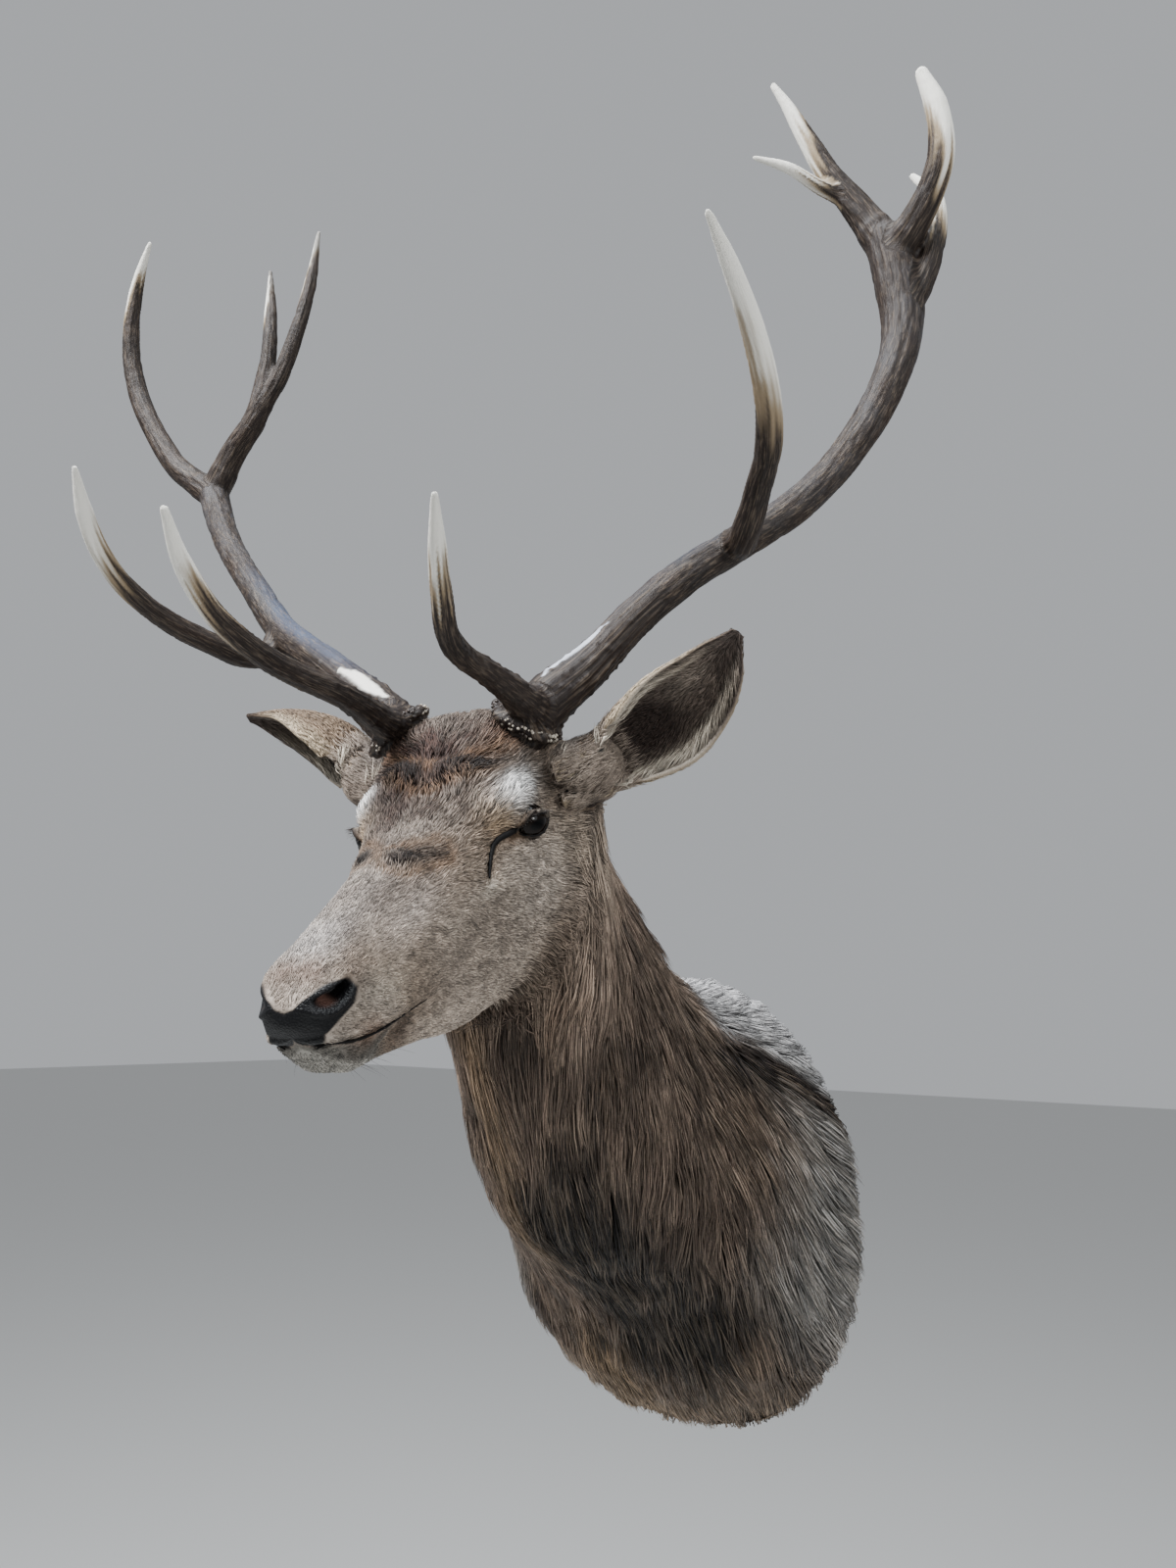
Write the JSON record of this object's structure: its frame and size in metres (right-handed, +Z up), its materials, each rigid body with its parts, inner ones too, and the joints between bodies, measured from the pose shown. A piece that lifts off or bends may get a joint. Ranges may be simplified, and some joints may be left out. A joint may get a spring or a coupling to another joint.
{
  "type": "red deer stag head mount",
  "caption": "Shoulder mount of a red deer stag, head turned a little to its left, long shaggy neck mane, cupped ears and tall branching antlers, on a hidden board that hangs on a wall.",
  "frame": {"origin": "centre of the back board's back face, which lies on the wall", "axes": "+X towards the stag's left, +Y into the wall, -Y out of the wall where the head faces, +Z up"},
  "size_m": [1.0396, 0.8158, 1.4353],
  "materials": {
    "face_coat": "short dense grey-beige hair",
    "mane_coat": "long shaggy grey-brown hair with dark roots",
    "ear_coat": "short grey-brown hair with a pale edge",
    "nose_skin": "black pebbled skin, slightly glossy",
    "eye_glass": "polished dark brown glass",
    "antler_bone": "grooved dark brown antler bone with worn pale ridges and ivory tips",
    "board_wood": "bare sawn board",
    "hanger_steel": "plain zinc-plated plate"
  },
  "bodies": {
    "root": {"head": "face_coat", "nose_pad": "nose_skin", "neck": "mane_coat", "shoulders": "mane_coat", "eye_left": "eye_glass", "eye_right": "eye_glass", "ear_left": "ear_coat", "ear_right": "ear_coat", "antler_left_beam": "antler_bone", "antler_left_brow_tine": "antler_bone", "antler_left_trez_tine": "antler_bone", "antler_left_crown_front": "antler_bone", "antler_left_crown_back": "antler_bone", "antler_left_crown_inner": "antler_bone", "antler_left_crown_rear": "antler_bone", "antler_right_beam": "antler_bone", "antler_right_brow_tine": "antler_bone", "antler_right_trez_tine": "antler_bone", "antler_right_crown_front": "antler_bone", "antler_right_crown_back": "antler_bone", "antler_right_crown_inner": "antler_bone", "back_board": "board_wood", "hanger_plate": "hanger_steel"}
  },
  "joints": []
}
